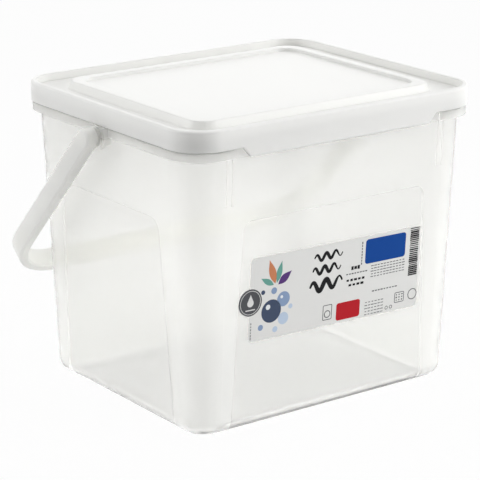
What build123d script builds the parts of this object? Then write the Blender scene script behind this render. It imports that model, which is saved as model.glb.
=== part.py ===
from build123d import *
import math
import os

# Laundry detergent container, 4.5 litres, in millimetres. X runs along the long front face, -Y faces the
# front, +Z is up. The origin is the middle of the tub's flat underside.

# Tub: outside at the rim's height, then walls, draft and corners
rim_width = 194.5
rim_depth = 165.0
rim_height = 167.0
rim_corner = 23.0
draft = 2.6
wall = 1.6
floor = 1.8
foot_radius = 8.0
inner_foot_chamfer = 4.5

# Bead that stiffens the tub's lip
rim_bead_out = 0.7
rim_bead_height = 1.6
rim_bead_below_lip = 1.8
rim_bead_chamfer = 0.5

# Sunk panel on each wall. It runs down through the foot and leaves a post at each corner
panel_sink = 0.9
panel_below_rim = 47.2
panel_front_half_top = 62.2
panel_front_spread = 5.6
panel_front_corner = 5.5
panel_side_half_top = 48.5
panel_side_spread = 5.5
panel_side_corner = 8.0
panel_step_angle = 35.0

# Turned-down collar below the lid, open at the front for the grip
collar_drop = 5.4
collar_shelf = 1.2
collar_apron = 1.3
collar_under_skirt = 0.15
collar_inset = 0.7
collar_gap_half = 70.5
collar_chamfer = 0.5

# Pairs of short ribs on the front wall, just outside the collar's gap
rib_pair_past_gap = 1.7
rib_spacing = 3.6
rib_thickness = 1.0
rib_out = 0.8
rib_foot_below_rim = 37.5
rib_foot_slope = 0.7

# Lid: what it leaves round the tub's bead, then its own form
skirt_clearance = 0.45
lid_thickness = 1.6
lid_seat_gap = 0.1
lid_corner_tighter = 3.0
skirt_drop = 11.4
skirt_thickness = 1.6
bead_width = 3.0
bead_chamfer = 1.0
gutter_depth = 4.4
gutter_width = 14.5
step_run = 2.1
ring_width_side = 5.6
ring_width_front = 5.8
ring_corner = 12.0
lid_panel_sink = 1.8
lid_panel_corner = 10.0
grip_drop = 5.6
grip_slope_run = 4.8
grip_in_gap = 4.7
grip_corner = 1.5
plug_thickness = 1.3
plug_depth = 6.0
plug_clearance = 0.35

# Pivot of the handle: an ear is a deeper, thicker stretch of the collar
pivot_below_rim = 11.0
ear_half_width = 7.5
ear_past_lid = 2.2
ear_plate = 2.0
ear_web = 1.6
pin_radius = 2.5
pin_clearance = 0.05
pin_head_out = 0.9
pin_head_length = 1.2
pin_head_gap = 0.2
pin_head_chamfer = 0.5

# Handle
handle_reach = 133.5
handle_head_width = 11.0
handle_foot_width = 13.2
arm_gap = 0.4
arm_thickness = 7.6
arm_foot_thickness = 5.3
hub_boss = 1.0
bar_thickness = 5.3
handle_corner = 35.0
handle_edge = 1.1
arm_skin = 2.2
arm_flange = 2.0
arm_web = 1.6
arm_cells = 4
handle_rest_gap = 7.9

# Labels on the front panel
label_side_margin = 3.0
label_height = 47.6
label_corner = 2.5
label_film = 0.2
label_centre_x = 2.9
label_below_panel_top = 46.8
label_tilt = -1.1
disc_radius = 7.6
disc_film = 0.2
disc_in_label = 0.2
disc_above_label_middle = 0.2

# How far a cutting shape runs past what it cuts
cut_past = 1.0

# Sizes that follow from the ones above
draft_rise = math.tan(math.radians(draft))
lid_margin = rim_bead_out + skirt_clearance + skirt_thickness
lid_width = rim_width + 2 * lid_margin
lid_depth = rim_depth + 2 * lid_margin
lid_corner = rim_corner - lid_corner_tighter
lid_top = rim_height + lid_seat_gap + lid_thickness + gutter_depth
skirt_foot = lid_top - skirt_drop
collar_top = skirt_foot - collar_under_skirt
collar_foot = collar_top - collar_drop
panel_top = rim_height - panel_below_rim
rib_foot = rim_height - rib_foot_below_rim
pivot_height = rim_height - pivot_below_rim
ear_face = lid_width / 2 + ear_past_lid
boss_face = ear_face + arm_gap
arm_inside = boss_face + hub_boss
arm_outside = arm_inside + arm_thickness


def rounded_block(width, depth, corner, bottom, top, flare=0.0):
    """A rounded rectangle from bottom to top, sized at the bottom, widening by the flare angle."""
    sketch = Plane.XY.offset(bottom) * RectangleRounded(width, depth, corner)
    return extrude(sketch, amount=top - bottom, taper=-flare)


def tub_block(inset, bottom, top):
    """The tub's drafted form, set in from its outer face by the inset."""
    shrink = inset + (rim_height - bottom) * draft_rise
    return rounded_block(
        rim_width - 2 * shrink, rim_depth - 2 * shrink, rim_corner - shrink, bottom, top, draft
    )


def panel_tool(turn, reach, half_top, spread, corner, inset):
    """What a sunk panel takes out of a wall: rounded upper corners, sloped step, open at the foot."""
    top = panel_top / math.cos(math.radians(draft))
    below = 2 * foot_radius
    foot_x = half_top + spread * (1 + below / top)
    outline = Polyline((-foot_x, -below), (-half_top, top), (half_top, top), (foot_x, -below), close=True)
    face = make_face(outline)
    face = fillet(face.vertices().group_by(Axis.Y)[-1], corner)
    face = offset(face, math.tan(math.radians(panel_step_angle)) * cut_past)
    foot_reach = reach - rim_height * draft_rise - inset
    plane = Plane(
        origin=(0, -foot_reach - cut_past, 0), x_dir=(1, 0, 0), z_dir=(0, -1, -draft_rise)
    )
    depth = cut_past + panel_sink + foot_radius / 2
    return Rotation(0, 0, turn) * extrude(plane * face, amount=-depth, taper=panel_step_angle)


def panelled_block(inset, bottom, ease_foot, ease):
    """The tub's form with its four sunk panels: posts at full size, panels set in.

    ease_foot is fillet or chamfer, and ease its size along the foot.
    """
    posts = tub_block(inset, bottom, rim_height)
    posts = ease_foot(posts.faces().sort_by(Axis.Z)[0].edges(), ease)
    core = tub_block(inset + panel_sink, bottom, panel_top)
    core = ease_foot(core.faces().sort_by(Axis.Z)[0].edges(), ease)
    front = (rim_depth / 2, panel_front_half_top, panel_front_spread, panel_front_corner)
    side = (rim_width / 2, panel_side_half_top, panel_side_spread, panel_side_corner)
    for turn, panel in ((0, front), (90, side), (180, front), (270, side)):
        posts -= panel_tool(turn, *panel, inset)
    return posts + core


def collar():
    """The turned-down collar: a shelf and an apron that follow the lid's outline."""
    width = lid_width - 2 * collar_inset
    depth = lid_depth - 2 * collar_inset
    corner = lid_corner - collar_inset
    ring = rounded_block(width, depth, corner, collar_foot, collar_top)
    levels = ring.edges().group_by(Axis.Z)
    ring = chamfer(levels[0] + levels[-1], collar_chamfer)
    ring -= rounded_block(
        width - 2 * collar_apron, depth - 2 * collar_apron, corner - collar_apron,
        collar_foot, collar_top - collar_shelf,
    )
    gap = Box(2 * collar_gap_half, lid_depth, collar_drop + 2 * cut_past)
    return ring - Pos(0, -lid_depth / 2, (collar_top + collar_foot) / 2) * gap


def ear_outline(half_width):
    """The ear seen from the end: round below the pivot, straight up and cut off at the collar's top."""
    head = collar_top - pivot_height
    stem = Pos(0, head / 2) * Rectangle(2 * half_width, head)
    standing = (Align.CENTER, Align.MIN)
    above = Pos(0, head) * Rectangle(2 * half_width, half_width, align=standing)
    return Plane.YZ * Pos(0, pivot_height) * (Circle(half_width) + stem - above)


def ear_start():
    """Where an ear grows from, half way through the wall at the pivot's height."""
    return rim_width / 2 - pivot_below_rim * draft_rise - wall / 2


def ear_hollow():
    """The room behind the right ear's plate for the pin's head, open downwards."""
    depth = ear_face - ear_plate - ear_start()
    half = ear_half_width - ear_web
    hollow = extrude(ear_outline(half), amount=depth)
    hollow -= Pos(0, 0, collar_top) * Box(2 * lid_width, lid_depth, 2 * collar_shelf)
    hollow += Box(depth, 2 * half, pivot_height, align=(Align.MIN, Align.CENTER, Align.MIN))
    return Pos(ear_start(), 0, 0) * hollow


def ear():
    """The right ear: a bored plate carried by two webs, round at its foot."""
    block = extrude(ear_outline(ear_half_width), amount=ear_face - ear_start())
    bore = Pos(ear_face, 0, pivot_height) * Rotation(0, 90, 0) * Cylinder(
        pin_radius + pin_clearance, 3 * ear_plate
    )
    return Pos(ear_start(), 0, 0) * block - ear_hollow() - bore


def front_ribs():
    """Two pairs of short upright ribs on the front wall, with sloped feet."""
    ribs = []
    height = collar_top - collar_shelf - rib_foot
    foot_y = -rim_depth / 2 + rib_foot_below_rim * draft_rise
    pair_at = collar_gap_half + rib_pair_past_gap
    for side in (-1, 1):
        for place in (-0.5, 0.5):
            plane = Plane(
                origin=(side * pair_at + place * rib_spacing, foot_y, rib_foot),
                x_dir=(1, 0, 0), z_dir=(0, -draft_rise, 1),
            )
            rib = extrude(plane * Rectangle(rib_thickness, 2 * rib_out), amount=height)
            foot = rib.faces().sort_by(Axis.Z)[0].edges().sort_by(Axis.Y)[0]
            ribs.append(chamfer(foot, rib_foot_slope))
    return ribs


def make_tub():
    """The moulded tub: panelled walls, lip bead, collar, ears and ribs, hollowed in one go."""
    body = panelled_block(0, 0, fillet, foot_radius)
    bead_top = rim_height - rim_bead_below_lip
    bead = tub_block(-rim_bead_out, bead_top - rim_bead_height, bead_top)
    levels = bead.edges().group_by(Axis.Z)
    body += chamfer(levels[0] + levels[-1], rim_bead_chamfer)
    rim = collar() - tub_block(wall / 2, collar_foot - cut_past, collar_top + cut_past)
    for turn in (0, 180):
        rim -= Rotation(0, 0, turn) * ear_hollow()
        rim += Rotation(0, 0, turn) * ear()
    body += rim
    for rib in front_ribs():
        body += rib
    return body - panelled_block(wall, floor, chamfer, inner_foot_chamfer)


def lid_block(inset, bottom, top, corner=None, flare=0.0):
    """A block that follows the lid's outline, set in by the inset."""
    radius = lid_corner - inset if corner is None else corner
    return rounded_block(lid_width - 2 * inset, lid_depth - 2 * inset, radius, bottom, top, flare)


def grip():
    """The deeper stretch of skirt at the front, with sloped ends, that the fingers pull up."""
    half_head = collar_gap_half - grip_in_gap
    half_foot = half_head - grip_slope_run
    foot = skirt_foot - grip_drop
    outline = Polyline(
        (-half_head, skirt_foot + cut_past), (-half_head, skirt_foot), (-half_foot, foot),
        (half_foot, foot), (half_head, skirt_foot), (half_head, skirt_foot + cut_past), close=True,
    )
    face = fillet(make_face(outline).vertices().group_by(Axis.Y)[0], grip_corner)
    front = Plane(origin=(0, -lid_depth / 2, 0), x_dir=(1, 0, 0), z_dir=(0, -1, 0))
    return extrude(front * face, amount=-skirt_thickness)


def make_lid():
    """The moulded lid: skirt and grip, rim bead, gutter, raised ring, sunk panel and plug."""
    gutter_floor = lid_top - gutter_depth
    underside = gutter_floor - lid_thickness
    slope = math.degrees(math.atan(step_run / gutter_depth))
    step_foot = bead_width + gutter_width
    step_head = step_foot + step_run
    panel_width = lid_width - 2 * (step_head + ring_width_side)
    panel_depth = lid_depth - 2 * (step_head + ring_width_front)
    panel_floor = lid_top - lid_panel_sink

    # Cap with its skirt, and the hollow under it
    body = lid_block(0, skirt_foot, lid_top)
    body = chamfer(body.edges().group_by(Axis.Z)[-1], bead_chamfer)
    body += grip()
    body -= lid_block(skirt_thickness, skirt_foot, underside)

    # Gutter round the raised ring, and the panel sunk inside the ring
    gutter = lid_block(bead_width, gutter_floor, lid_top)
    body -= gutter - lid_block(step_foot, gutter_floor, lid_top, ring_corner, -slope)
    body -= rounded_block(panel_width, panel_depth, lid_panel_corner, panel_floor, lid_top)

    # Hollow under the ring and the panel, one wall below them
    hollow = lid_block(
        step_foot + lid_thickness, underside, lid_top - lid_thickness, ring_corner, -slope
    )
    body -= hollow - rounded_block(
        panel_width + 2 * lid_thickness, panel_depth + 2 * lid_thickness,
        lid_panel_corner + lid_thickness, panel_floor - lid_thickness, lid_top,
    )

    # Plug that enters the tub's mouth
    plug_inset = wall + plug_clearance
    body += tub_block(plug_inset, underside - plug_depth, underside)
    return body - tub_block(plug_inset + plug_thickness, underside - plug_depth, underside)


def handle_profile():
    """The handle seen along its width, pivot line at the origin and grip bar below."""
    head = handle_head_width / 2
    foot = -handle_reach - bar_thickness / 2
    foot_inside = arm_outside - arm_foot_thickness
    outer = Pos(0, (head + foot) / 2) * Rectangle(2 * arm_outside, head - foot)
    outer = fillet(outer.vertices().group_by(Axis.Y)[0], handle_corner)
    inner = make_face(Polyline(
        (-arm_inside, head), (-arm_inside, -head), (-foot_inside, foot + bar_thickness),
        (foot_inside, foot + bar_thickness), (arm_inside, -head), (arm_inside, head), close=True,
    ))
    return outer - fillet(inner.vertices().group_by(Axis.Y)[0], handle_corner - arm_foot_thickness)


def arm_pockets():
    """Pockets on the inner side of the right arm, between cross webs, so that its walls stay thin."""
    head = handle_head_width / 2 + arm_web
    foot = handle_reach - handle_corner - bar_thickness
    pitch = (foot - head) / arm_cells
    pocket = Box(
        arm_thickness, handle_head_width - 2 * arm_flange, pitch - arm_web,
        align=(Align.MAX, Align.CENTER, Align.MAX),
    )
    return [Pos(arm_outside - arm_skin, 0, -head - cell * pitch) * pocket for cell in range(arm_cells)]


def strap_outline():
    """The handle seen from its end: round at the pivot, a little wider at the bar."""
    head = handle_head_width / 2
    foot = handle_foot_width / 2
    reach = handle_reach + bar_thickness
    sides = Polyline((-head, 0), (head, 0), (foot, -reach), (-foot, -reach), close=True)
    return Circle(head) + make_face(sides)


def pivot_pin():
    """The right arm's boss and pin, which runs through the ear's bore to a snap head behind it."""
    head_start = ear_face - ear_plate - pin_head_gap
    standing = (Align.CENTER, Align.CENTER, Align.MIN)
    inwards = Rotation(0, -90, 0)
    boss = Cylinder(handle_head_width / 2, hub_boss, align=standing)
    shank = Cylinder(pin_radius, arm_inside - head_start, align=standing)
    head = Cylinder(pin_radius + pin_head_out, pin_head_length, align=standing)
    head = chamfer(head.edges().group_by(Axis.Z)[-1], pin_head_chamfer)
    return Pos(arm_inside, 0, 0) * inwards * (boss + shank) + Pos(head_start, 0, 0) * inwards * head


def rest_angle():
    """Degrees from straight down to where the bar hangs, off the rear wall's posts by the rest gap.

    The bar's nearest edge turns about the pivot, and the wall leans back by the draft, so the
    angle a solves sine_part * sin(a) + cosine_part * cos(a) = target.
    """
    edge_reach = handle_reach - bar_thickness / 2
    half = handle_foot_width / 2
    sine_part = edge_reach + draft_rise * half
    cosine_part = draft_rise * edge_reach - half
    target = rim_depth / 2 - pivot_below_rim * draft_rise + handle_rest_gap
    size = math.hypot(sine_part, cosine_part)
    return math.degrees(math.asin(target / size) - math.atan2(cosine_part, sine_part))


def make_handle():
    """The carrying handle, hung back behind the rear wall."""
    body = extrude(Plane.XZ * handle_profile(), amount=handle_foot_width, both=True)
    body &= extrude(Plane.YZ * strap_outline(), amount=arm_outside, both=True)
    sides = body.faces().sort_by(Axis.Y)
    edges = sides[0].edges() + sides[-1].edges()
    body = chamfer([edge for edge in edges if edge.center().Z < -handle_edge], handle_edge)
    pin = pivot_pin()
    for pocket in arm_pockets():
        body -= pocket
        body -= mirror(pocket, about=Plane.YZ)
    body += pin
    body += mirror(pin, about=Plane.YZ)
    return Pos(0, 0, pivot_height) * Rotation(rest_angle(), 0, 0) * body


def front_panel_plane():
    """The face of the front panel: x to the right, y up the drafted wall, z outwards."""
    foot_reach = rim_depth / 2 - rim_height * draft_rise - panel_sink
    return Plane(origin=(0, -foot_reach, 0), x_dir=(1, 0, 0), z_dir=(0, -1, -draft_rise))


def label_centre():
    """Where the front label's middle lies on the front panel."""
    return label_centre_x, panel_top - label_below_panel_top


def make_front_label():
    """The printed film on the front panel."""
    width = 2 * (panel_front_half_top - label_side_margin)
    film = Rot(0, 0, label_tilt) * RectangleRounded(width, label_height, label_corner)
    return extrude(front_panel_plane() * Pos(*label_centre()) * film, amount=label_film)


def make_round_label(front_label):
    """The round sticker: it laps over the front label's left edge and on to the panel."""
    middle_x, middle_y = label_centre()
    place = (
        middle_x - panel_front_half_top + label_side_margin + disc_in_label,
        middle_y + disc_above_label_middle,
    )
    disc = front_panel_plane() * Pos(*place) * Circle(disc_radius)
    return extrude(disc, amount=label_film + disc_film) - front_label


def main():
    os.makedirs("parts", exist_ok=True)
    front_label = make_front_label()
    nodes = {
        "tub": make_tub(),
        "lid": make_lid(),
        "carry_handle": make_handle(),
        "front_label": front_label,
        "round_label": make_round_label(front_label),
    }
    for name, solid in nodes.items():
        export_step(solid, f"parts/{name}.step")
    print("The handle hangs", round(rest_angle(), 2), "degrees back from straight down")


main()
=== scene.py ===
import bpy
import math
from mathutils import Matrix, Vector


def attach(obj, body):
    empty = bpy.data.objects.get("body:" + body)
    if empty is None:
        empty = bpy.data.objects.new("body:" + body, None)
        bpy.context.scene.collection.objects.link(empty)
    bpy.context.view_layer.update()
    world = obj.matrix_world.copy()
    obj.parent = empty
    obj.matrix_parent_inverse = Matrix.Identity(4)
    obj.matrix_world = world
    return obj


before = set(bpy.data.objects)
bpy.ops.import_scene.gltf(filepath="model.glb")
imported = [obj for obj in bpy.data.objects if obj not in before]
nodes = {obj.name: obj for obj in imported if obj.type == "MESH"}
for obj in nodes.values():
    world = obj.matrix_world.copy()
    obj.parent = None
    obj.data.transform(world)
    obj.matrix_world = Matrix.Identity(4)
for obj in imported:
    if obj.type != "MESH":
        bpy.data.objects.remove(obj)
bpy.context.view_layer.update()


# Colours and nodes

def linearColour(hexCode):
    # sRGB hex to the linear values that a shader takes
    channels = [int(hexCode[place:place + 2], 16) / 255 for place in (0, 2, 4)]
    return [c / 12.92 if c <= 0.04045 else ((c + 0.055) / 1.055) ** 2.4 for c in channels] + [1.0]


def addNode(tree, kind, settings=None, values=None, links=None):
    # one node: settings are its own options, values fill its inputs, links feed its inputs
    node = tree.nodes.new(kind)
    for name, setting in (settings or {}).items():
        setattr(node, name, setting)
    for name, value in (values or {}).items():
        node.inputs[name].default_value = value
    for name, source in (links or {}).items():
        tree.links.new(source, node.inputs[name])
    return node


def newMaterial(name):
    material = bpy.data.materials.new(name)
    material.use_nodes = True
    material.node_tree.nodes.clear()
    return material, material.node_tree


def showSurface(tree, shader):
    addNode(tree, "ShaderNodeOutputMaterial", links={"Surface": shader})


def dress(node, material):
    mesh = nodes[node].data
    mesh.materials.clear()
    mesh.materials.append(material)


# Camera, matched to the photograph: degrees, metres and pixels of a picture 480 pixels square

shot = {
    "azimuth": -36.48, "elevation": 16.84, "distance": 1.22455,
    "target": (-0.00115, -0.00434, 0.08164),
    "framePixels": 480, "focalPixels": 2133.83, "axisRight": 11.49, "axisDown": -1.95,
    "nearest": 0.05, "farthest": 20.0,
}


def makeCamera():
    turn, rise = math.radians(shot["azimuth"]), math.radians(shot["elevation"])
    back = Vector((math.sin(turn) * math.cos(rise), -math.cos(turn) * math.cos(rise), math.sin(rise)))
    data = bpy.data.cameras.new("camera")
    data.lens = data.sensor_width * shot["focalPixels"] / shot["framePixels"]
    data.shift_x = -shot["axisRight"] / shot["framePixels"]
    data.shift_y = shot["axisDown"] / shot["framePixels"]
    data.clip_start, data.clip_end = shot["nearest"], shot["farthest"]
    camera = bpy.data.objects.new("camera", data)
    camera.location = Vector(shot["target"]) + back * shot["distance"]
    camera.rotation_euler = back.to_track_quat("Z", "Y").to_euler()
    bpy.context.scene.collection.objects.link(camera)
    bpy.context.scene.camera = camera
    print("camera set")


# Studio: a white sweep and four softboxes, the one behind on the right a weak one

studio = {
    # metres and watts; each softbox aims at the same spot above the floor
    "softboxes": {
        "top": {"place": (0.1, 0.1, 1.3), "size": 1.2, "power": 6.8},
        "left": {"place": (-1.2, 0.75, 0.55), "size": 0.9, "power": 8.2},
        "right": {"place": (1.1, -1.0, 0.6), "size": 0.9, "power": 15.4},
        "rear": {"place": (0.7, 1.3, 0.5), "size": 0.9, "power": 1.6},
    },
    "aim": (0.0, 0.0, 0.08),
    # how strongly the white surroundings light the object; they are seen at full white
    "worldFill": 0.2,
    # the sweep's paint, and the painted shadow right under the tub: a darker colour that stands in
    # for the tub's shade there
    "floorColour": "f4f4f4", "paintedShadowColour": "282828",
    # the sweep's own glow, seen straight and seen through the tub
    "floorGlow": 0.95, "floorGlowThrough": 0.6,
    # half width and half depth of the painted shadow, and the share of them at which it starts to
    # fade
    "underTub": (0.0795, 0.065), "shadeFade": 0.97,
    "floorSize": 6.0,
}


def objectAxes(tree):
    # X, Y and Z of the spot in the object's own coordinates
    place = addNode(tree, "ShaderNodeTexCoord").outputs["Object"]
    return addNode(tree, "ShaderNodeSeparateXYZ", links={0: place}).outputs


def seenDirectly(tree):
    # 1 for what the camera sees straight, in a mirror or through the tub
    path = addNode(tree, "ShaderNodeLightPath")
    seen = path.outputs["Is Camera Ray"]
    for name in ("Is Glossy Ray", "Is Transmission Ray"):
        both = addNode(
            tree, "ShaderNodeMath", {"operation": "MAXIMUM"}, links={0: seen, 1: path.outputs[name]}
        )
        seen = both.outputs[0]
    return seen


def clearOfTub(tree):
    # 0 right under the tub, where the sweep gets painted shadow for the shade of the tub's closed
    # floor, and 1 beyond its walls
    axes = objectAxes(tree)
    spread = []
    for axis, half in zip(("X", "Y"), studio["underTub"]):
        across = addNode(tree, "ShaderNodeMath", {"operation": "DIVIDE"}, {1: half}, {0: axes[axis]})
        across = addNode(
            tree, "ShaderNodeMath", {"operation": "ABSOLUTE"}, links={0: across.outputs[0]}
        )
        spread.append(across.outputs[0])
    far = addNode(
        tree, "ShaderNodeMath", {"operation": "MAXIMUM"}, links={0: spread[0], 1: spread[1]}
    )
    clear = addNode(
        tree, "ShaderNodeMapRange", values={"From Min": studio["shadeFade"], "From Max": 1.0},
        links={"Value": far.outputs[0]},
    )
    return clear.outputs["Result"]


def lightStudio():
    for name, values in studio["softboxes"].items():
        data = bpy.data.lights.new(name + "Softbox", "AREA")
        data.shape = "SQUARE"
        data.size = values["size"]
        data.energy = values["power"]
        lamp = bpy.data.objects.new(name + "Softbox", data)
        lamp.location = values["place"]
        toLamp = lamp.location - Vector(studio["aim"])
        lamp.rotation_euler = toLamp.to_track_quat("Z", "Y").to_euler()
        bpy.context.scene.collection.objects.link(lamp)
    world = bpy.data.worlds.new("studio")
    world.use_nodes = True
    tree = world.node_tree
    tree.nodes.clear()
    seen = seenDirectly(tree)
    strength = addNode(
        tree, "ShaderNodeMapRange",
        values={"To Min": studio["worldFill"], "To Max": 1.0}, links={"Value": seen},
    )
    glow = addNode(
        tree, "ShaderNodeBackground", values={"Color": (1, 1, 1, 1)},
        links={"Strength": strength.outputs["Result"]},
    )
    addNode(tree, "ShaderNodeOutputWorld", links={"Surface": glow.outputs[0]})
    bpy.context.scene.world = world
    print("studio lit")


def layFloor():
    half = studio["floorSize"] / 2
    mesh = bpy.data.meshes.new("floor")
    corners = [(-half, -half, 0), (half, -half, 0), (half, half, 0), (-half, half, 0)]
    mesh.from_pydata(corners, [], [(0, 1, 2, 3)])
    floor = bpy.data.objects.new("floor", mesh)
    bpy.context.scene.collection.objects.link(floor)
    # white matt paint that glows by itself, so that the ground stays as pale as in the photograph
    material, tree = newMaterial("paintedSweep")
    clear = clearOfTub(tree)
    # painted shadow: right under the tub the paint turns dark, standing in for the shade that the tub
    # casts there
    shade = addNode(
        tree, "ShaderNodeMix", {"data_type": "RGBA"},
        {"A": linearColour(studio["paintedShadowColour"]), "B": linearColour(studio["floorColour"])},
        {"Factor": clear},
    )
    paint = addNode(tree, "ShaderNodeBsdfDiffuse", links={"Color": shade.outputs["Result"]})
    glow = addNode(tree, "ShaderNodeEmission", values={"Color": (1, 1, 1, 1), "Strength": 1.0})
    # most glow straight from the camera, less where the sweep is seen through the tub or in a gloss,
    # and none through the tub right under it, so that the painted shadow there stays dark
    path = addNode(tree, "ShaderNodeLightPath")
    direct = addNode(
        tree, "ShaderNodeMath", {"operation": "MULTIPLY"}, {1: studio["floorGlow"]},
        {0: path.outputs["Is Camera Ray"]},
    )
    through = addNode(
        tree, "ShaderNodeMath", {"operation": "MULTIPLY"}, links={0: clear, 1: seenDirectly(tree)}
    )
    through = addNode(
        tree, "ShaderNodeMath", {"operation": "MULTIPLY"}, {1: studio["floorGlowThrough"]},
        {0: through.outputs[0]},
    )
    share = addNode(
        tree, "ShaderNodeMath", {"operation": "MAXIMUM"},
        links={0: direct.outputs[0], 1: through.outputs[0]},
    )
    both = addNode(
        tree, "ShaderNodeMixShader",
        links={0: share.outputs[0], 1: paint.outputs[0], 2: glow.outputs[0]},
    )
    showSurface(tree, both.outputs[0])
    mesh.materials.append(material)
    print("floor laid")


# Plastics

mouldedGrain = {"pitch": 0.0006, "height": 0.00002, "strength": 0.3, "detail": 2.0}


def grainNormal(tree):
    # fine spark-eroded mould finish; real grain is about 0.1 mm, drawn at 0.6 mm so that it shows
    place = addNode(tree, "ShaderNodeTexCoord").outputs["Object"]
    grain = addNode(
        tree, "ShaderNodeTexNoise",
        values={"Scale": 1 / mouldedGrain["pitch"], "Detail": mouldedGrain["detail"]},
        links={"Vector": place},
    )
    bump = addNode(
        tree, "ShaderNodeBump",
        values={"Strength": mouldedGrain["strength"], "Distance": mouldedGrain["height"]},
        links={"Height": grain.outputs["Fac"]},
    )
    return bump.outputs[0]


tubPlastic = {
    # shadow is the share of a lamp's light that a wall stops, scatter the depth in metres to which
    # light spreads in it; a low index keeps the thin walls free of dark bent edges
    "colour": "f9f9f7", "ior": 1.06, "shadow": 0.17, "scatter": 0.02,
    # the sunk panels are polished in the mould, the posts and the band above them are matt
    "clearPanel": 0.87, "clearPost": 0.79, "roughPanel": 0.02, "roughPost": 0.22,
    # the collar round the rim hangs in front of the wall, so it is milkier from its foot up
    "clearCollar": 0.5, "collarFoot": 0.1561, "collarFade": 0.0001,
    # as in the part's source, in metres: the panels' top edge, then per pair of walls the half width
    # there, how much it grows down to the foot and the corner's radius
    "panelTop": 0.1198, "front": (0.0622, 0.0056, 0.0055), "sides": (0.0485, 0.0055, 0.008),
}


def onPanel(tree):
    # 1 on the sunk panels and the tub's floor, 0 on the posts and the band above the panels
    axes = objectAxes(tree)
    within = []
    for axis, walls in (("X", "front"), ("Y", "sides")):
        half, growth, corner = tubPlastic[walls]
        # how far the spot is past the middles of the panel's two upper corners, across and up
        reach = addNode(tree, "ShaderNodeMapRange", {"clamp": False}, {
            "From Min": 0.0, "From Max": tubPlastic["panelTop"],
            "To Min": half + growth - corner, "To Max": half - corner,
        }, {"Value": axes["Z"]})
        across = addNode(tree, "ShaderNodeMath", {"operation": "ABSOLUTE"}, links={0: axes[axis]})
        across = addNode(
            tree, "ShaderNodeMath", {"operation": "SUBTRACT"},
            links={0: across.outputs[0], 1: reach.outputs["Result"]},
        )
        up = addNode(
            tree, "ShaderNodeMath", {"operation": "SUBTRACT"},
            {1: tubPlastic["panelTop"] - corner}, {0: axes["Z"]},
        )
        past = addNode(
            tree, "ShaderNodeCombineXYZ", links={"X": across.outputs[0], "Y": up.outputs[0]}
        )
        past = addNode(
            tree, "ShaderNodeVectorMath", {"operation": "MAXIMUM"}, {1: (0, 0, 0)},
            {0: past.outputs[0]},
        )
        far = addNode(
            tree, "ShaderNodeVectorMath", {"operation": "LENGTH"}, links={0: past.outputs[0]}
        )
        inside = addNode(
            tree, "ShaderNodeMath", {"operation": "LESS_THAN"}, {1: corner},
            {0: far.outputs["Value"]},
        )
        within.append(inside.outputs[0])
    either = addNode(
        tree, "ShaderNodeMath", {"operation": "MAXIMUM"}, links={0: within[0], 1: within[1]}
    )
    return either.outputs[0]


def makeNaturalPolypropylene():
    # injection-moulded natural polypropylene: milky, lets light and blurred shapes through
    material, tree = newMaterial("naturalPolypropylene")
    path = addNode(tree, "ShaderNodeLightPath")
    cover = addNode(
        tree, "ShaderNodeMapRange", values={"To Min": 1.0, "To Max": tubPlastic["shadow"]},
        links={"Value": path.outputs["Is Shadow Ray"]},
    )
    panel = onPanel(tree)
    offPanel = addNode(tree, "ShaderNodeMapRange", values={
        "From Min": tubPlastic["collarFoot"],
        "From Max": tubPlastic["collarFoot"] + tubPlastic["collarFade"],
        "To Min": tubPlastic["clearPost"], "To Max": tubPlastic["clearCollar"],
    }, links={"Value": objectAxes(tree)["Z"]})
    clear = addNode(tree, "ShaderNodeMapRange", values={
        "To Max": tubPlastic["clearPanel"],
    }, links={"Value": panel, "To Min": offPanel.outputs["Result"]})
    rough = addNode(tree, "ShaderNodeMapRange", values={
        "To Min": tubPlastic["roughPost"], "To Max": tubPlastic["roughPanel"],
    }, links={"Value": panel})
    shader = addNode(tree, "ShaderNodeBsdfPrincipled", values={
        "Base Color": linearColour(tubPlastic["colour"]), "IOR": tubPlastic["ior"],
        "Subsurface Weight": 1.0, "Subsurface Scale": tubPlastic["scatter"],
        "Subsurface Radius": (1, 1, 1),
    }, links={
        "Normal": grainNormal(tree), "Alpha": cover.outputs["Result"],
        "Transmission Weight": clear.outputs["Result"], "Roughness": rough.outputs["Result"],
    })
    showSurface(tree, shader.outputs[0])
    return material


# scatter is the share of light that goes under the skin, reach how deep and edge the radius to which
# edges look rounded, both in metres
lidPlastic = {
    "colour": "f6f6f3", "roughness": 0.38, "ior": 1.49, "scatter": 0.4, "reach": 0.004,
    "edge": 0.0012,
}
handlePlastic = {
    "colour": "f3f3ee", "roughness": 0.38, "ior": 1.49, "scatter": 1.0, "reach": 0.008,
    "edge": 0.0005,
}


def makeWhitePolypropylene(name, plastic):
    # white-filled moulded polypropylene: light soaks in a little, with a low waxy sheen
    material, tree = newMaterial(name)
    rounded = addNode(
        tree, "ShaderNodeBevel", {"samples": 4}, {"Radius": plastic["edge"]},
        {"Normal": grainNormal(tree)},
    )
    shader = addNode(tree, "ShaderNodeBsdfPrincipled", values={
        "Base Color": linearColour(plastic["colour"]), "Roughness": plastic["roughness"],
        "IOR": plastic["ior"], "Subsurface Weight": plastic["scatter"],
        "Subsurface Scale": plastic["reach"], "Subsurface Radius": (1, 1, 1),
    }, links={"Normal": rounded.outputs[0]})
    showSurface(tree, shader.outputs[0])
    return material


labelFilm = {"colour": "e8e8e6", "roughness": 0.45, "ior": 1.45}
# a low index keeps the white surroundings from paling the dark inks
printInk = {"roughness": 0.5, "ior": 1.2}


def makeFilm(name, colour, finish):
    # printed polypropylene film or the ink on it: smooth and satin, the ink duller than the film
    material, tree = newMaterial(name)
    shader = addNode(tree, "ShaderNodeBsdfPrincipled", values={
        "Base Color": linearColour(colour), "Roughness": finish["roughness"], "IOR": finish["ior"],
    })
    showSurface(tree, shader.outputs[0])
    return material


# Print on the label and the disc: plain fields, marks and a design of bubbles and leaves, all laid
# as thin films of ink

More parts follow.
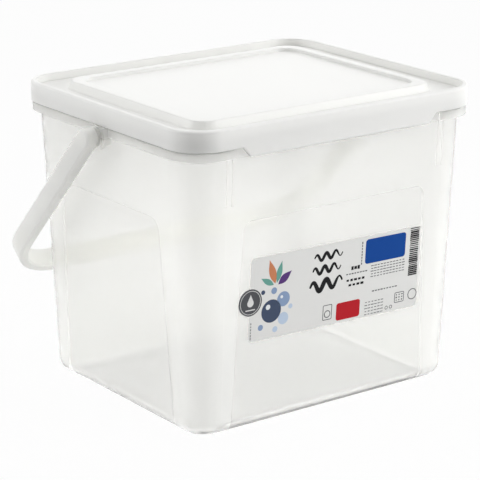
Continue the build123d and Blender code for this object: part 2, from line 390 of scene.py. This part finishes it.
labelFace = {
    # where the film lies, as in the part's source, in metres and degrees
    "panelFoot": 0.074017, "draft": 2.6, "middle": (0.0029, 0.073), "tilt": -1.1,
    "filmTop": 0.0002, "discTop": 0.0004, "inkBelow": 0.00002, "inkAbove": 0.00005,
    "millimetre": 0.001,
}


def filmFrame(top, shift=(0, 0)):
    # turns millimetres on the film, counted from the label's middle, into metres in the part's frame
    lean = math.radians(labelFace["draft"])
    out = Vector((0, -math.cos(lean), -math.sin(lean)))
    up = Vector((0, -math.sin(lean), math.cos(lean)))
    across = Vector((1, 0, 0))
    middle = Vector((0, -labelFace["panelFoot"], 0))
    middle += across * labelFace["middle"][0] + up * labelFace["middle"][1] + out * top
    turn = math.radians(labelFace["tilt"])
    right = across * math.cos(turn) + up * math.sin(turn)
    head = up * math.cos(turn) - across * math.sin(turn)
    place = Matrix((right, head, out)).transposed().to_4x4()
    unit = labelFace["millimetre"]
    place.translation = middle + right * shift[0] * unit + head * shift[1] * unit
    return place @ Matrix.Diagonal((unit, unit, 1, 1))


def inkMesh(name, shapes, place):
    # each shape is its points and its faces in the film's plane; it gets a top, a bottom and edges
    points, faces = [], []
    for outline, fills in shapes:
        first, count = len(points), len(outline)
        for height in (-labelFace["inkBelow"], labelFace["inkAbove"]):
            points += [place @ Vector((x, y, height)) for x, y in outline]
        edges = {}
        for fill in fills:
            faces.append([first + count + spot for spot in fill])
            faces.append([first + spot for spot in reversed(fill)])
            for start, end in zip(fill, fill[1:] + fill[:1]):
                edges[(start, end)] = (end, start)
        for (start, end), back in edges.items():
            if back not in edges:
                side = (start, end, count + end, count + start)
                faces.append([first + spot for spot in side])
    mesh = bpy.data.meshes.new(name)
    mesh.from_pydata(points, [], faces)
    return mesh


def layInk(name, mesh, material):
    piece = bpy.data.objects.new(name, mesh)
    bpy.context.scene.collection.objects.link(piece)
    mesh.materials.clear()
    mesh.materials.append(material)
    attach(piece, "tub")
    return piece


inkCurves = {
    # straight steps on each curve: per rounded corner, disc, leaf, drop and wave
    "cornerSteps": 6, "discSides": 32, "leafSteps": 12, "dropSteps": 24, "waveSteps": 48,
    # a leaf is fullest nearer its foot as this falls below 1, and its ends get sharper as that rises
    "leafFullness": 0.85, "leafPoint": 1.2,
    # the round part of a drop, in degrees: where it starts and how far it turns
    "dropStart": 155, "dropTurn": 230,
    # a wave's line: thinness at its start, how soon it runs out, how fast it swells, and its climb
    "waveThin": 0.35, "waveRun": 1.15, "waveSwell": 0.6, "waveClimb": 0.06,
}


def filled(outline):
    return outline, [list(range(len(outline)))]


def roundedField(x, y, width, height, corner):
    outline = []
    turn = 90 / inkCurves["cornerSteps"]
    for quarter, (sideX, sideY) in enumerate(((1, 1), (-1, 1), (-1, -1), (1, -1))):
        for step in range(inkCurves["cornerSteps"] + 1):
            angle = math.radians(90 * quarter + turn * step)
            outline.append((
                x + sideX * (width / 2 - corner) + corner * math.cos(angle),
                y + sideY * (height / 2 - corner) + corner * math.sin(angle),
            ))
    return filled(outline)


def disc(x, y, radius):
    sides = inkCurves["discSides"]
    turns = [2 * math.pi * side / sides for side in range(sides)]
    return filled([(x + radius * math.cos(turn), y + radius * math.sin(turn)) for turn in turns])


def band(outer, inner):
    # a closed line between two outlines with as many points each
    count = len(outer)
    fills = []
    for spot in range(count):
        following = (spot + 1) % count
        fills.append([spot, following, count + following, count + spot])
    return outer + inner, fills


def ring(x, y, radius, line):
    return band(disc(x, y, radius)[0], disc(x, y, radius - line)[0])


def frameLine(x, y, width, height, corner, line):
    outer = roundedField(x, y, width, height, corner)[0]
    return band(outer, roundedField(x, y, width - 2 * line, height - 2 * line, corner - line)[0])


def leaf(foot, tip, width):
    # two curved sides that meet in a point at the foot and at the tip
    along = Vector((tip[0] - foot[0], tip[1] - foot[1]))
    across = Vector((-along.y, along.x)).normalized() * width / 2
    right, left = [], []
    for step in range(1, inkCurves["leafSteps"]):
        share = step / inkCurves["leafSteps"]
        swell = math.sin(math.pi * share ** inkCurves["leafFullness"]) ** inkCurves["leafPoint"]
        middle = Vector(foot) + along * share
        right.append(tuple(middle - across * swell))
        left.append(tuple(middle + across * swell))
    return filled([tuple(foot)] + right + [tuple(tip)] + left[::-1])


def drop(x, y, radius, height):
    # a round foot that draws up to a point
    outline = [(x, y + height)]
    steps = inkCurves["dropSteps"]
    for step in range(steps + 1):
        angle = math.radians(inkCurves["dropStart"] + inkCurves["dropTurn"] * step / steps)
        outline.append((x + radius * math.cos(angle), y + radius * math.sin(angle)))
    return filled(outline)


def wave(x, y, length, rise, turns, line):
    # one brush stroke that starts thin, swells and runs out
    count, thin = inkCurves["waveSteps"], inkCurves["waveThin"]
    upper, lower = [], []
    for step in range(count + 1):
        share = step / count
        phase = 2 * math.pi * turns * share
        slope = rise * 2 * math.pi * turns / length * math.cos(phase)
        normal = Vector((-slope, 1)).normalized()
        swell = math.sin(math.pi * min(1, inkCurves["waveRun"] * share)) ** inkCurves["waveSwell"]
        half = line / 2 * (thin + (1 - thin) * swell)
        along = length * (share - 0.5)
        spot = Vector((x + along, y + rise * math.sin(phase) + inkCurves["waveClimb"] * along))
        upper.append(tuple(spot + normal * half))
        lower.append(tuple(spot - normal * half))
    fills = [[step, count + 1 + step, count + 2 + step, step + 1] for step in range(count)]
    return upper + lower, fills


# Rows of small marks repeat, so one node tree makes them: a block of dashes, uneven in both ways

heightSeedStep = 7


def markTree():
    tree = bpy.data.node_groups.new("printedMarks", "GeometryNodeTree")
    sockets = (
        ("Columns", "NodeSocketInt"), ("Rows", "NodeSocketInt"),
        ("Block Width", "NodeSocketFloat"), ("Block Height", "NodeSocketFloat"),
        ("Shortest", "NodeSocketFloat"), ("Longest", "NodeSocketFloat"),
        ("Thinnest", "NodeSocketFloat"), ("Thickest", "NodeSocketFloat"),
        ("Ink Depth", "NodeSocketFloat"), ("Seed", "NodeSocketInt"), ("Ink", "NodeSocketMaterial"),
    )
    for name, kind in sockets:
        tree.interface.new_socket(name, in_out="INPUT", socket_type=kind)
    tree.interface.new_socket("Marks", in_out="OUTPUT", socket_type="NodeSocketGeometry")
    given = addNode(tree, "NodeGroupInput").outputs
    places = addNode(tree, "GeometryNodeMeshGrid", links={
        "Size X": given["Block Width"], "Size Y": given["Block Height"],
        "Vertices X": given["Columns"], "Vertices Y": given["Rows"],
    })
    otherSeed = addNode(
        tree, "ShaderNodeMath", {"operation": "ADD"}, {1: heightSeedStep}, {0: given["Seed"]}
    )
    # inputs 2 and 3 and output 1 of Random Value are its plain numbers
    length = addNode(tree, "FunctionNodeRandomValue", links={
        2: given["Shortest"], 3: given["Longest"], "Seed": given["Seed"],
    })
    height = addNode(tree, "FunctionNodeRandomValue", links={
        2: given["Thinnest"], 3: given["Thickest"], "Seed": otherSeed.outputs[0],
    })
    size = addNode(tree, "ShaderNodeCombineXYZ", links={
        "X": length.outputs[1], "Y": height.outputs[1], "Z": given["Ink Depth"],
    })
    dash = addNode(tree, "GeometryNodeMeshCube", values={"Size": (1, 1, 1)})
    spread = addNode(tree, "GeometryNodeInstanceOnPoints", links={
        "Points": places.outputs["Mesh"], "Instance": dash.outputs["Mesh"], "Scale": size.outputs[0],
    })
    real = addNode(
        tree, "GeometryNodeRealizeInstances", links={"Geometry": spread.outputs["Instances"]}
    )
    inked = addNode(tree, "GeometryNodeSetMaterial", links={
        "Geometry": real.outputs[0], "Material": given["Ink"],
    })
    addNode(tree, "NodeGroupOutput", links={"Marks": inked.outputs[0]})
    return tree


def markBlock(tree, block, ink, place):
    # block is its middle, its width and height, columns, rows, dash lengths, dash heights and seed
    x, y, width, height, columns, rows, lengths, heights, seed = block
    holder = bpy.data.objects.new("markBlock", bpy.data.meshes.new("markBlock"))
    bpy.context.scene.collection.objects.link(holder)
    modifier = holder.modifiers.new("marks", "NODES")
    modifier.node_group = tree
    values = {
        "Columns": columns, "Rows": rows, "Block Width": width, "Block Height": height,
        "Shortest": lengths[0], "Longest": lengths[1],
        "Thinnest": heights[0], "Thickest": heights[1],
        "Ink Depth": labelFace["inkBelow"] + labelFace["inkAbove"], "Seed": seed, "Ink": ink,
    }
    for item in tree.interface.items_tree:
        if item.in_out == "INPUT":
            modifier[item.identifier] = values[item.name]
    seen = bpy.context.evaluated_depsgraph_get()
    mesh = bpy.data.meshes.new_from_object(holder.evaluated_get(seen))
    rise = (labelFace["inkAbove"] - labelFace["inkBelow"]) / 2
    mesh.transform(place @ Matrix.Translation((x, y, rise)))
    bpy.data.objects.remove(holder)
    return mesh


def joinedMesh(name, meshes):
    points, faces = [], []
    for mesh in meshes:
        first = len(points)
        points += [vertex.co.copy() for vertex in mesh.vertices]
        faces += [[first + spot for spot in face.vertices] for face in mesh.polygons]
    whole = bpy.data.meshes.new(name)
    whole.from_pydata(points, [], faces)
    return whole


inks = {
    "black": "1b1b1d", "grey": "626365", "blue": "0b4798", "red": "bd1f2a",
    "slate": "47536b", "haze": "8ea3c4", "mist": "c2d2e6", "teal": "6ea79b",
    "violet": "5c3c7c", "orange": "cf8660", "shine": "eef1f4",
}

printedLabel = {
    # millimetres from the label's middle: middle x, middle y, width, height, corner
    "blueField": (34.0, 14.7, 29.0, 14.3, 1.8),
    "redField": (9.2, -17.4, 16.8, 10.2, 1.5),
    # middle x, middle y, length, rise, turns, line
    "waves": [
        (-6.6, 17.2, 19.5, 1.9, 3.0, 2.0), (-7.4, 9.6, 19.5, 2.0, 3.0, 2.1),
        (-7.4, 0.6, 22.5, 2.9, 2.5, 3.0),
    ],
    # middle x, middle y, radius
    "bubbles": {
        "slate": [(-44.6, -8.2, 6.6), (-50.6, 3.4, 1.3)],
        "haze": [(-36.6, -2.6, 4.3), (-43.2, 3.2, 1.9), (-51.4, -16.6, 1.7)],
        "mist": [(-36.2, -13.8, 3.5), (-41.5, -19.2, 1.7), (-31.6, -7.6, 1.4)],
        "shine": [(-46.9, -5.6, 1.5), (-37.9, -1.2, 0.9)],
    },
    # foot, tip, width
    "leaves": {
        "orange": [((-42.6, 7.2), (-47.2, 21.3), 4.6)],
        "teal": [((-41.6, 7.4), (-38.6, 19.6), 3.7), ((-43.6, 6.6), (-52.4, 11.6), 3.3)],
        "violet": [((-40.6, 6.4), (-31.8, 12.9), 4.6)],
    },
    # middle x, middle y, width, height, corner, line
    "frames": [
        (46.3, -16.5, 7.0, 6.2, 0.8, 0.4), (55.9, -16.3, 6.6, 6.6, 3.2, 0.5),
        (-5.5, -16.2, 6.4, 8.9, 0.7, 0.4),
    ],
    # middle x, middle y, radius, line
    "rings": [(-5.5, -17.2, 2.2, 0.5), (37.2, -21.3, 1.1, 0.35), (40.4, -21.3, 1.1, 0.35)],
    # middle x, middle y, width, height, columns, rows, dash lengths, dash heights, seed
    "bars": [
        (55.0, 9.4, 0.0, 27.6, 1, 25, (5.8, 6.6), (0.45, 1.1), 3),
        (13.0, 6.8, 4.4, 0.0, 3, 1, (1.2, 1.9), (1.7, 2.3), 5),
        (13.4, -0.1, 11.0, 0.0, 5, 1, (1.5, 2.1), (1.1, 1.5), 8),
        (13.9, -3.0, 8.6, 0.0, 4, 1, (1.5, 2.2), (1.1, 1.5), 11),
    ],
    "smallPrint": [
        (14.0, 3.6, 13.6, 0.0, 8, 1, (1.0, 1.6), (0.6, 0.7), 2),
        (36.4, 2.6, 22.6, 6.4, 11, 5, (1.2, 2.1), (0.4, 0.5), 4),
        (35.0, -9.4, 16.6, 0.0, 9, 1, (1.1, 1.8), (0.6, 0.7), 6),
        (27.9, -19.1, 11.6, 7.2, 6, 5, (1.1, 2.1), (0.4, 0.5), 9),
        (17.1, 14.4, 0.0, 12.0, 1, 8, (0.6, 0.7), (1.0, 1.5), 12),
        (-58.0, -17.6, 0.0, 8.6, 1, 6, (0.5, 0.6), (0.9, 1.4), 14),
        (46.3, -16.5, 4.0, 3.2, 3, 3, (0.5, 1.2), (0.5, 0.9), 15),
    ],
}


def printLabel():
    place = filmFrame(labelFace["filmTop"])
    material = {name: makeFilm(name + "Ink", colour, printInk) for name, colour in inks.items()}
    for name in ("blue", "red"):
        mesh = inkMesh(name + "Field", [roundedField(*printedLabel[name + "Field"])], place)
        layInk(name + "_field", mesh, material[name])
    strokes = [wave(*values) for values in printedLabel["waves"]]
    layInk("brushed_waves", inkMesh("brushedWaves", strokes, place), material["black"])
    for name, spots in printedLabel["bubbles"].items():
        # the shine lies on the bubbles, so it starts a little higher
        level = filmFrame(labelFace["filmTop"] + (labelFace["inkAbove"] if name == "shine" else 0))
        mesh = inkMesh(name + "Bubbles", [disc(*spot) for spot in spots], level)
        layInk(name + "_bubbles", mesh, material[name])
    for name, blades in printedLabel["leaves"].items():
        mesh = inkMesh(name + "Leaves", [leaf(*blade) for blade in blades], place)
        layInk(name + "_leaves", mesh, material[name])
    lines = [frameLine(*values) for values in printedLabel["frames"]]
    lines += [ring(*values) for values in printedLabel["rings"]]
    layInk("line_marks", inkMesh("lineMarks", lines, place), material["grey"])
    tree = markTree()
    for name, ink in (("bars", "black"), ("smallPrint", "grey")):
        blocks = [markBlock(tree, block, material[ink], place) for block in printedLabel[name]]
        layInk("printed_" + name, joinedMesh(name, blocks), material[ink])
    print("label printed")


printedDisc = {
    "colour": "55565a", "inkColour": "e6e6e5",
    # millimetres: the disc's middle from the label's, the marks from the disc's own
    "middle": (-59.0, -0.93), "ring": (0, 0, 6.8, 0.3),
    "drop": (0, -0.3, 2.1, 4.9), "line": (0, -4.2, 6.4, 0.6, 0.25),
}


def printDisc():
    place = filmFrame(labelFace["discTop"], printedDisc["middle"])
    shapes = [
        ring(*printedDisc["ring"]), drop(*printedDisc["drop"]), roundedField(*printedDisc["line"]),
    ]
    ink = makeFilm("discMarkInk", printedDisc["inkColour"], printInk)
    piece = layInk("disc_marks", inkMesh("discMarks", shapes, place), ink)
    print("disc printed")


makeCamera()
lightStudio()
layFloor()
dress("tub", makeNaturalPolypropylene())
dress("lid", makeWhitePolypropylene("lidPolypropylene", lidPlastic))
dress("carry_handle", makeWhitePolypropylene("handlePolypropylene", handlePlastic))
dress("front_label", makeFilm("labelFilm", labelFilm["colour"], labelFilm))
dress("round_label", makeFilm("discFilm", printedDisc["colour"], printInk))
print("plastics on")
printLabel()
printDisc()

scene = bpy.context.scene
scene.view_settings.view_transform = "Standard"
